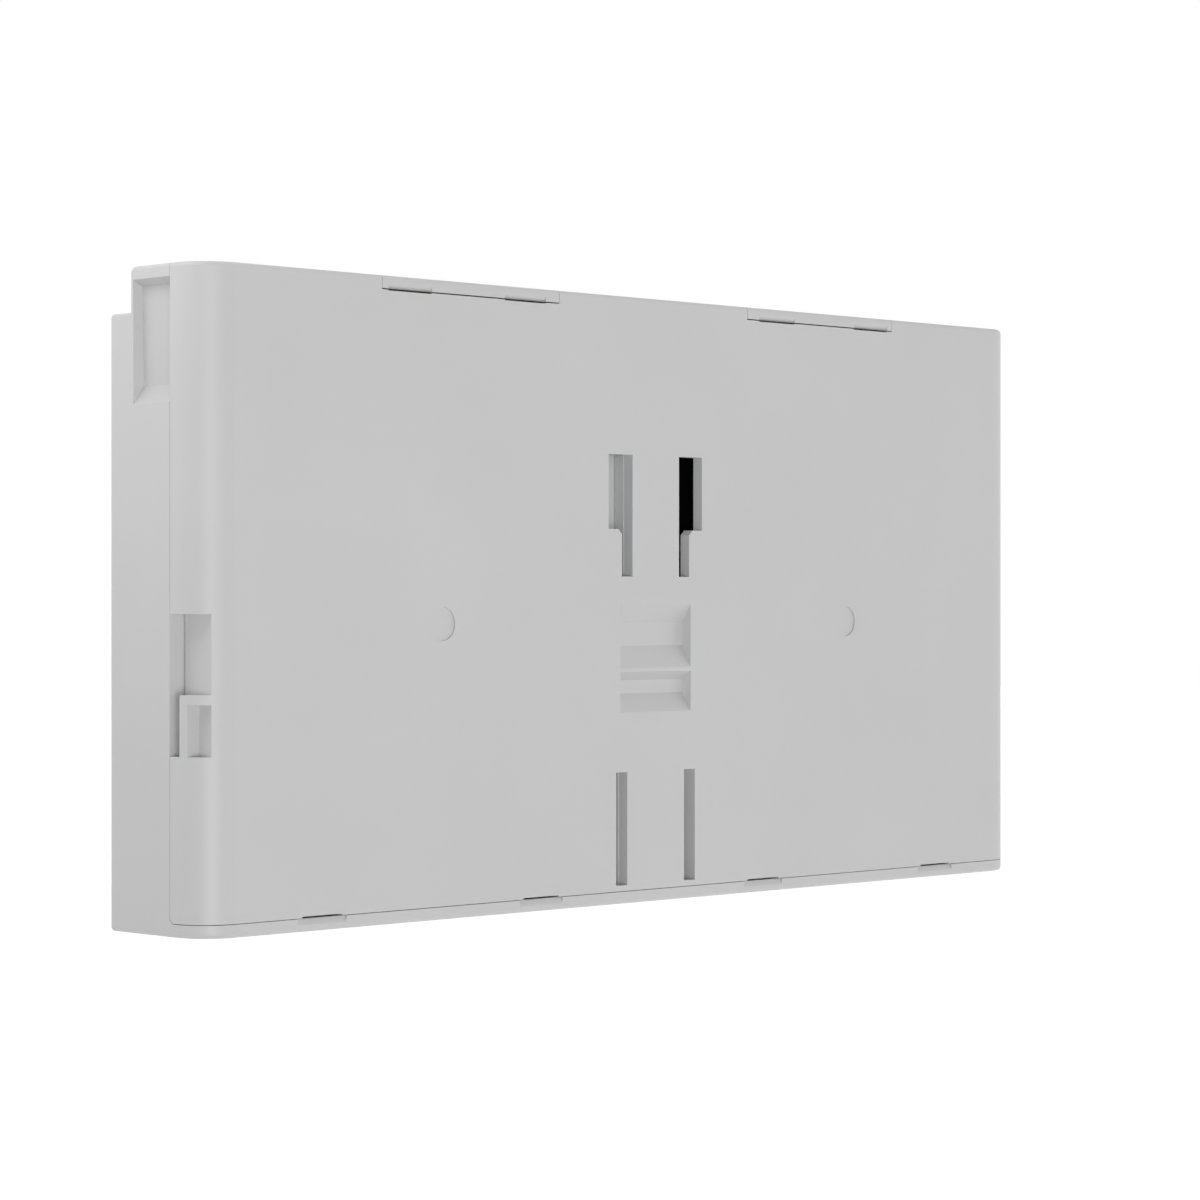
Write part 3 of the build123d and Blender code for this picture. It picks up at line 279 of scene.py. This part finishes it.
FINISHES = {
    "case_plastic": moulded_plastic("case_light_grey", (0.63, 0.63, 0.63), rough=(0.38, 0.46)),
    "spine_plastic": moulded_plastic("spine_light_grey", (0.68, 0.68, 0.68), rough=(0.45, 0.55)),
    "button_plastic": moulded_plastic("button_light_grey", (0.58, 0.58, 0.58), rough=(0.35, 0.45)),
    "bezel_plastic": moulded_plastic("bezel_dark_grey", (0.045, 0.047, 0.05), rough=(0.35, 0.45)),
    "black_plastic": moulded_plastic("moulding_black", (0.02, 0.02, 0.02), rough=(0.4, 0.5)),
    "holder_plastic": moulded_plastic("cell_holder_black", (0.028, 0.028, 0.03), rough=(0.5, 0.6)),
    "black_sheet": moulded_plastic("fish_paper_black", (0.002, 0.002, 0.002), rough=(0.8, 0.9), shine=0.05),
    "terminal_green": moulded_plastic("terminal_green", (0.02, 0.22, 0.07), rough=(0.35, 0.45)),
    "ferrite": moulded_plastic("ferrite_black", (0.03, 0.03, 0.033), grain=0.1 * MM, rough=(0.55, 0.7)),
    "lead_black": moulded_plastic("lead_black_sleeve", (0.012, 0.012, 0.012), rough=(0.4, 0.5)),
    "lead_red": moulded_plastic("lead_red_sleeve", (0.42, 0.012, 0.01), rough=(0.4, 0.5)),
    "relay_blue": glossy_plastic("relay_blue", (0.02, 0.09, 0.36)),
    "smoked_window": glossy_plastic("window_smoked", (0.012, 0.012, 0.014), rough=(0.04, 0.08)),
    "led_white": glossy_plastic("led_white", (0.8, 0.79, 0.7)),
    "capacitor_sleeve": glossy_plastic("capacitor_sleeve", (0.015, 0.022, 0.05), rough=(0.25, 0.35)),
    "choke_core": glossy_plastic("choke_coating", (0.55, 0.42, 0.06), rough=(0.3, 0.4)),
    "cell_sleeve": glossy_plastic("cell_sleeve_blue", (0.03, 0.19, 0.42), rough=(0.22, 0.32)),
    "clear_guide": clear_plastic("light_guide_clear", (0.9, 0.93, 0.95), 0.05),
    "fuse_glass": clear_plastic("fuse_glass", (0.9, 0.95, 0.95), 0.02),
    "screw_steel": metal("zinc_plated_steel", (0.66, 0.66, 0.68)),
    "spring_steel": metal("bright_steel", (0.72, 0.72, 0.74), rough=(0.15, 0.28)),
    "sink_aluminium": metal("extruded_aluminium", (0.75, 0.76, 0.78), brush=(1.0, 1.0, 0.05)),
    "nickel_strip": metal("nickel_strip", (0.72, 0.70, 0.66), brush=(0.05, 1.0, 1.0)),
    "foam": foam("cell_pad_foam", (0.05, 0.05, 0.055)),
    "circuit_board": circuit_board("board_green_mask"),
    "copper_winding": wound_wire("enamelled_copper", (0.62, 0.25, 0.08), 700.0),
}


def dress_cad_nodes():
    """Gives every CAD node the finish of its material slot."""
    for part in frame["record"]["subparts"]:
        piece = frame["nodes"][part["node"]]
        piece.data.materials.clear()
        piece.data.materials.append(FINISHES[part["material_slot"]])


# ---------------------------------------------------------------- small pieces
def deselect():
    bpy.ops.object.select_all(action="DESELECT")


def select_only(*objects):
    deselect()
    for piece in objects:
        piece.select_set(True)
    bpy.context.view_layer.objects.active = objects[0]


def new_primitive(add, **settings):
    """A primitive that is the only selected object."""
    deselect()
    add(**settings)
    return bpy.context.object


def rod(place, radius, length, sides, turn=UPRIGHT):
    """Cylinder round its middle."""
    return new_primitive(
        bpy.ops.mesh.primitive_cylinder_add,
        vertices=sides,
        radius=radius,
        depth=length,
        location=place,
        rotation=turn,
    )


def hoop(place, radius, thickness, segments, turn=UPRIGHT):
    """Ring of round wire, with its segments round the ring and round the wire."""
    return new_primitive(
        bpy.ops.mesh.primitive_torus_add,
        major_radius=radius,
        minor_radius=thickness,
        major_segments=segments[0],
        minor_segments=segments[1],
        location=place,
        rotation=turn,
    )


def soften(piece, width, segments=2):
    """Rounds the edges of a piece with an applied bevel."""
    select_only(piece)
    edge = piece.modifiers.new("rounded_edges", "BEVEL")
    edge.width = width
    edge.segments = segments
    edge.limit_method = "ANGLE"
    bpy.ops.object.modifier_apply(modifier=edge.name)


def joined(pieces):
    select_only(*pieces)
    if len(pieces) > 1:
        bpy.ops.object.join()
    return bpy.context.object


def settle(piece, name, slot, body="case"):
    """Puts a piece's place in its mesh, shades it, and gives it its name, finish and body."""
    select_only(piece)
    bpy.ops.object.transform_apply(location=True, rotation=True, scale=True)
    bpy.ops.object.shade_smooth_by_angle(angle=SMOOTH_UNDER)
    piece.name = name
    piece.data.name = name
    piece.data.materials.clear()
    piece.data.materials.append(FINISHES[slot])
    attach(piece, body)


def box_of(node):
    """Lowest corner, highest corner and middle of a CAD node."""
    low, high = (Vector(corner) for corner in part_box(node))
    return low, high, (low + high) / 2


def rounded_bar(place, direction, length):
    """Round-ended bar of the marks' wire, lying in the plane of the front."""
    turn = Vector(direction).to_track_quat("Z", "Y").to_euler()
    bar = rod(place, MARK_WIRE, length, 24, turn)
    soften(bar, MARK_WIRE * 0.95, 4)
    return bar


def mark_ring(place, radius):
    return hoop(place, radius, MARK_WIRE, (72, 12), OUT_OF_WALL)


def open_ring_at_top(ring, half_gap):
    """Takes the top out of an upright ring and closes its two ends."""
    select_only(ring)
    bpy.ops.object.transform_apply(location=True, rotation=True, scale=True)
    middle = sum((Vector(corner) for corner in ring.bound_box), Vector()) / 8
    bpy.ops.object.mode_set(mode="EDIT")
    bpy.ops.mesh.select_mode(type="VERT")
    bpy.ops.mesh.select_all(action="DESELECT")
    bpy.ops.object.mode_set(mode="OBJECT")
    for corner in ring.data.vertices:
        offset = corner.co - middle
        corner.select = offset.z > 0 and abs(offset.x) < half_gap
    bpy.ops.object.mode_set(mode="EDIT")
    bpy.ops.mesh.delete(type="VERT")
    bpy.ops.mesh.select_non_manifold()
    bpy.ops.mesh.fill_holes(sides=0)
    bpy.ops.object.mode_set(mode="OBJECT")


def mark_place(button):
    """Middle of a button's dished face."""
    low, _, middle = box_of(button)
    return Vector((middle.x, low.y + DISH_DROP, middle.z))


def make_button_marks():
    """Raised marks: a broken ring and bar for power, a ring and slash for mute."""
    power_ring_radius = 1.9 * MM
    power_half_gap = 0.75 * MM
    power_bar_length = 1.9 * MM
    power_bar_rise = 1.5 * MM
    mute_ring_radius = 1.4 * MM
    mute_slash_length = 2.8 * MM

    place = mark_place("power_button")
    ring = mark_ring(place, power_ring_radius)
    open_ring_at_top(ring, power_half_gap)
    bar = rounded_bar(place + Vector((0, 0, power_bar_rise)), (0, 0, 1), power_bar_length)
    settle(joined([ring, bar]), "power_mark", "bezel_plastic", "power_button")

    place = mark_place("mute_button")
    ring = mark_ring(place, mute_ring_radius)
    slash = rounded_bar(place, (1, 0, 1), mute_slash_length)
    settle(joined([ring, slash]), "mute_mark", "bezel_plastic", "mute_button")


def make_socket_pins():
    """Metal sleeve with a domed tip over the pin of each barrel socket."""
    pin_radius = 1.03 * MM
    pin_length = 8.0 * MM
    tip_recess = 1.4 * MM
    for socket in ("dc_inlet", "dc_outlet_1", "dc_outlet_2"):
        low, _, middle = box_of(socket)
        place = (middle.x, middle.y, low.z + tip_recess + pin_length / 2)
        pin = rod(place, pin_radius, pin_length, 32)
        soften(pin, pin_radius * 0.45, 4)
        settle(pin, socket + "_pin", "spring_steel")


def make_fuse_caps():
    """Rolled metal cap on each end of the fuse, and the fine wire between them."""
    low, high, middle = box_of("fuse")
    cap_radius = (high.z - low.z) / 2 + 0.02 * MM
    cap_length = 5.0 * MM
    cap_rolling = 0.5 * MM
    wire_radius = 0.15 * MM
    caps = []
    for x in (low.x + cap_length / 2, high.x - cap_length / 2):
        cap = rod((x, middle.y, middle.z), cap_radius, cap_length, 48, ALONG_X)
        soften(cap, cap_rolling, 3)
        caps.append(cap)
    wire_length = high.x - low.x - cap_length
    wire = rod(middle, wire_radius, wire_length, 12, ALONG_X)
    settle(joined([*caps, wire]), "fuse_caps", "spring_steel")


def make_terminal_screws():
    """Slotted screw in the mouth of each way of the lead terminal."""
    _, high, middle = box_of("lead_terminal")
    half_pitch = 4.0 * MM
    rise = 2.0 * MM
    head_radius = 1.7 * MM
    head_thickness = 1.2 * MM
    head_drop = 1.0 * MM
    head_rounding = 0.25 * MM
    slot_drop = 0.4 * MM
    slot_size = (3.8 * MM, 0.8 * MM, 0.5 * MM)
    screws = []
    for x in (middle.x - half_pitch, middle.x + half_pitch):
        place = (x, high.y - head_drop, middle.z + rise)
        head = rod(place, head_radius, head_thickness, 32, OUT_OF_WALL)
        soften(head, head_rounding, 3)
        slot_place = (x, high.y - slot_drop, middle.z + rise)
        cutter = new_primitive(bpy.ops.mesh.primitive_cube_add, size=1.0, location=slot_place)
        cutter.scale = slot_size
        select_only(head)
        cut = head.modifiers.new("driver_slot", "BOOLEAN")
        cut.operation = "DIFFERENCE"
        cut.object = cutter
        bpy.ops.object.modifier_apply(modifier=cut.name)
        select_only(cutter)
        bpy.ops.object.delete()
        screws.append(head)
    settle(joined(screws), "terminal_screws", "screw_steel")


def chip_row(origin, step, count, size, edge):
    """Row of equal small parts: one softened block and its copies, each with its own mesh."""
    first = new_primitive(bpy.ops.mesh.primitive_cube_add, size=1.0, location=origin)
    first.scale = size
    select_only(first)
    bpy.ops.object.transform_apply(location=False, rotation=False, scale=True)
    soften(first, edge)
    row = [first]
    for index in range(1, count):
        copy = first.copy()
        copy.data = first.data.copy()
        bpy.context.scene.collection.objects.link(copy)
        copy.location = Vector(origin) + index * Vector(step)
        row.append(copy)
    return row


def make_board_details():
    """Rows of small resistors and one controller chip with its legs on the main board."""
    low, high, _ = box_of("main_board")
    face = high.y
    per_row = 9

    resistor = Vector((2.0, 0.6, 1.25)) * MM
    resistor_edge = 0.08 * MM
    resistor_pitch = 4.2 * MM
    first_resistor = 12 * MM
    seat = face + resistor.y / 2
    resistors = []
    for rise in (25.0, 28.0, 31.0):
        origin = (low.x + first_resistor, seat, low.z + rise * MM)
        resistors += chip_row(origin, (resistor_pitch, 0, 0), per_row, resistor, resistor_edge)
    settle(joined(resistors), "small_resistors", "black_plastic")

    chip = Vector((10.0, 1.2, 7.0)) * MM
    chip_edge = 0.15 * MM
    chip_gap = 0.1 * MM
    chip_along = 66 * MM
    chip_rise = 30 * MM
    place = Vector((low.x + chip_along, face + chip.y / 2 + chip_gap, low.z + chip_rise))
    body = chip_row(place, (0, 0, 0), 1, chip, chip_edge)
    settle(joined(body), "controller_chip", "black_plastic")

    leg = Vector((0.4, 0.15, 1.2)) * MM
    leg_edge = 0.03 * MM
    leg_pitch = 1.1 * MM
    leg_reach = 0.5 * MM
    legs = []
    for side in (-1, 1):
        offset = Vector((-4 * leg_pitch, -chip.y / 2, side * (chip.z / 2 + leg_reach)))
        legs += chip_row(place + offset, (leg_pitch, 0, 0), per_row, leg, leg_edge)
    settle(joined(legs), "controller_legs", "spring_steel")


def make_cell_rings():
    """White insulating ring round the plus end of every cell."""
    ring_radius = 6.0 * MM
    ring_wire = 0.25 * MM
    for row in ("lower", "upper"):
        rings = []
        for number in range(1, CELLS_PER_ROW + 1):
            low, high, middle = box_of(f"cell_{row}_{number}")
            end = high.z - RING_DROP if number <= PLUS_UP_CELLS else low.z + RING_DROP
            rings.append(hoop((middle.x, middle.y, end), ring_radius, ring_wire, (64, 8)))
        settle(joined(rings), f"cell_rings_{row}", "led_white")


# ---------------------------------------------------------------- studio
def level(heading):
    """Level direction at a heading in degrees from +X towards +Y."""
    return Vector((math.cos(math.radians(heading)), math.sin(math.radians(heading)), 0))


def share(tree, value, start, end):
    """0 where a value is under its start, 1 where it is over its end."""
    node = tree.nodes.new("ShaderNodeMapRange")
    node.inputs["From Min"].default_value = start
    node.inputs["From Max"].default_value = end
    tree.links.new(value, node.inputs["Value"])
    return node.outputs["Result"]


def along(tree, place, heading):
    """How far a place lies along a level heading."""
    node = tree.nodes.new("ShaderNodeVectorMath")
    node.operation = "DOT_PRODUCT"
    node.inputs[1].default_value = level(heading)
    tree.links.new(place, node.inputs[0])
    return node.outputs["Value"]


def combined(tree, operation, first, second):
    node = tree.nodes.new("ShaderNodeMath")
    node.operation = operation
    tree.links.new(first, node.inputs[0])
    tree.links.new(second, node.inputs[1])
    return node.outputs["Value"]


def make_backdrop():
    """White floor far below the hanging unit, with a greyer patch under its lit side."""
    floor_place = (0, 0, LOW.z - FLOOR_DROP)
    floor = new_primitive(bpy.ops.mesh.primitive_plane_add, size=FLOOR_WIDTH, location=floor_place)
    floor.name = "studio_floor"
    material, shader, place = new_finish("studio_white")
    tree = material.node_tree
    distance = tree.nodes.new("ShaderNodeVectorMath")
    distance.operation = "LENGTH"
    tree.links.new(place, distance.inputs[0])
    far_off = share(tree, distance.outputs["Value"], *PATCH_EDGE)
    behind = share(tree, along(tree, place, LIT_SIDE + 180), -FLOOR_FADE, FLOOR_FADE)
    white = combined(tree, "MAXIMUM", far_off, behind)
    paint(material, shader, white, [(0.0, PATCH_GREY), (1.0, FLOOR_WHITE)])
    glow = ramp(material, white, [(0.0, 0.0), (1.0, FLOOR_GLOW)])
    link(material, glow, shader.inputs["Emission Color"])
    shader.inputs["Emission Strength"].default_value = 1.0
    shader.inputs["Roughness"].default_value = 0.9
    shader.inputs["Specular IOR Level"].default_value = 0.1
    floor.data.materials.append(material)


def make_softbox(name, place, target, size, watts):
    light = bpy.data.lights.new(name, "AREA")
    light.shape = "RECTANGLE"
    light.size, light.size_y = size
    light.energy = watts
    lamp = bpy.data.objects.new(name, light)
    bpy.context.scene.collection.objects.link(lamp)
    lamp.location = place
    lamp.rotation_euler = (Vector(target) - Vector(place)).to_track_quat("-Z", "Y").to_euler()


def make_air():
    """White surroundings that fall off high up on the side that the back and the end look at."""
    world = bpy.data.worlds.new("studio_air")
    bpy.context.scene.world = world
    world.use_nodes = True
    tree = world.node_tree
    background = tree.nodes["Background"]
    background.inputs["Color"].default_value = (1, 1, 1, 1)
    direction = tree.nodes.new("ShaderNodeTexCoord").outputs["Generated"]
    height = tree.nodes.new("ShaderNodeSeparateXYZ")
    tree.links.new(direction, height.inputs["Vector"])
    high_up = share(tree, height.outputs["Z"], *AIR_RISE)
    lit_side = share(tree, along(tree, direction, LIT_SIDE), 0.0, AIR_FALL)
    fall = tree.nodes.new("ShaderNodeMapRange")
    fall.inputs["To Min"].default_value = 1.0
    fall.inputs["To Max"].default_value = AIR_LOW
    tree.links.new(combined(tree, "MULTIPLY", high_up, lit_side), fall.inputs["Value"])
    tree.links.new(fall.outputs["Result"], background.inputs["Strength"])


def make_studio():
    """A broad fill, a tall strip for the corner and a small softbox over the end of the case."""
    make_backdrop()
    make_air()
    fill_place = MIDDLE + 3.0 * level(55) - Vector((0, 0, 0.6))
    make_softbox("fill_softbox", fill_place, MIDDLE, (1.6, 1.6), 39.5)
    strip_place = MIDDLE + 1.5 * level(68)
    make_softbox("corner_strip", strip_place, MIDDLE, (0.14, 1.3), 1.7)
    corner = Vector((HIGH.x, MIDDLE.y, HIGH.z))
    end_place = corner + Vector((0.12, -0.033, 0.125))
    make_softbox("end_softbox", end_place, corner, (0.1, 0.1), 0.14)


def make_camera():
    """Long lens at the unit's half height, turned halfway between the back and the end."""
    height = HIGH.z - LOW.z
    stand_off = 5.069 * height
    stand_aside = 0.5836 * height
    camera = bpy.data.cameras.new("studio_camera")
    camera.lens = 103.8
    camera.sensor_width = 36.0
    camera.clip_start = 0.01
    camera.clip_end = 200.0
    view = bpy.data.objects.new("studio_camera", camera)
    bpy.context.scene.collection.objects.link(view)
    heading = math.radians(45.0)
    forward = Vector((-math.sin(heading), -math.cos(heading), 0))
    right = Vector((-math.cos(heading), math.sin(heading), 0))
    corner = Vector((HIGH.x, HIGH.y, MIDDLE.z))
    view.location = corner - forward * stand_off + right * stand_aside
    view.rotation_euler = forward.to_track_quat("-Z", "Y").to_euler()
    bpy.context.scene.camera = view
    bpy.context.scene.view_settings.view_transform = "Standard"


dress_cad_nodes()
make_button_marks()
make_socket_pins()
make_fuse_caps()
make_terminal_screws()
make_board_details()
make_cell_rings()
make_studio()
make_camera()
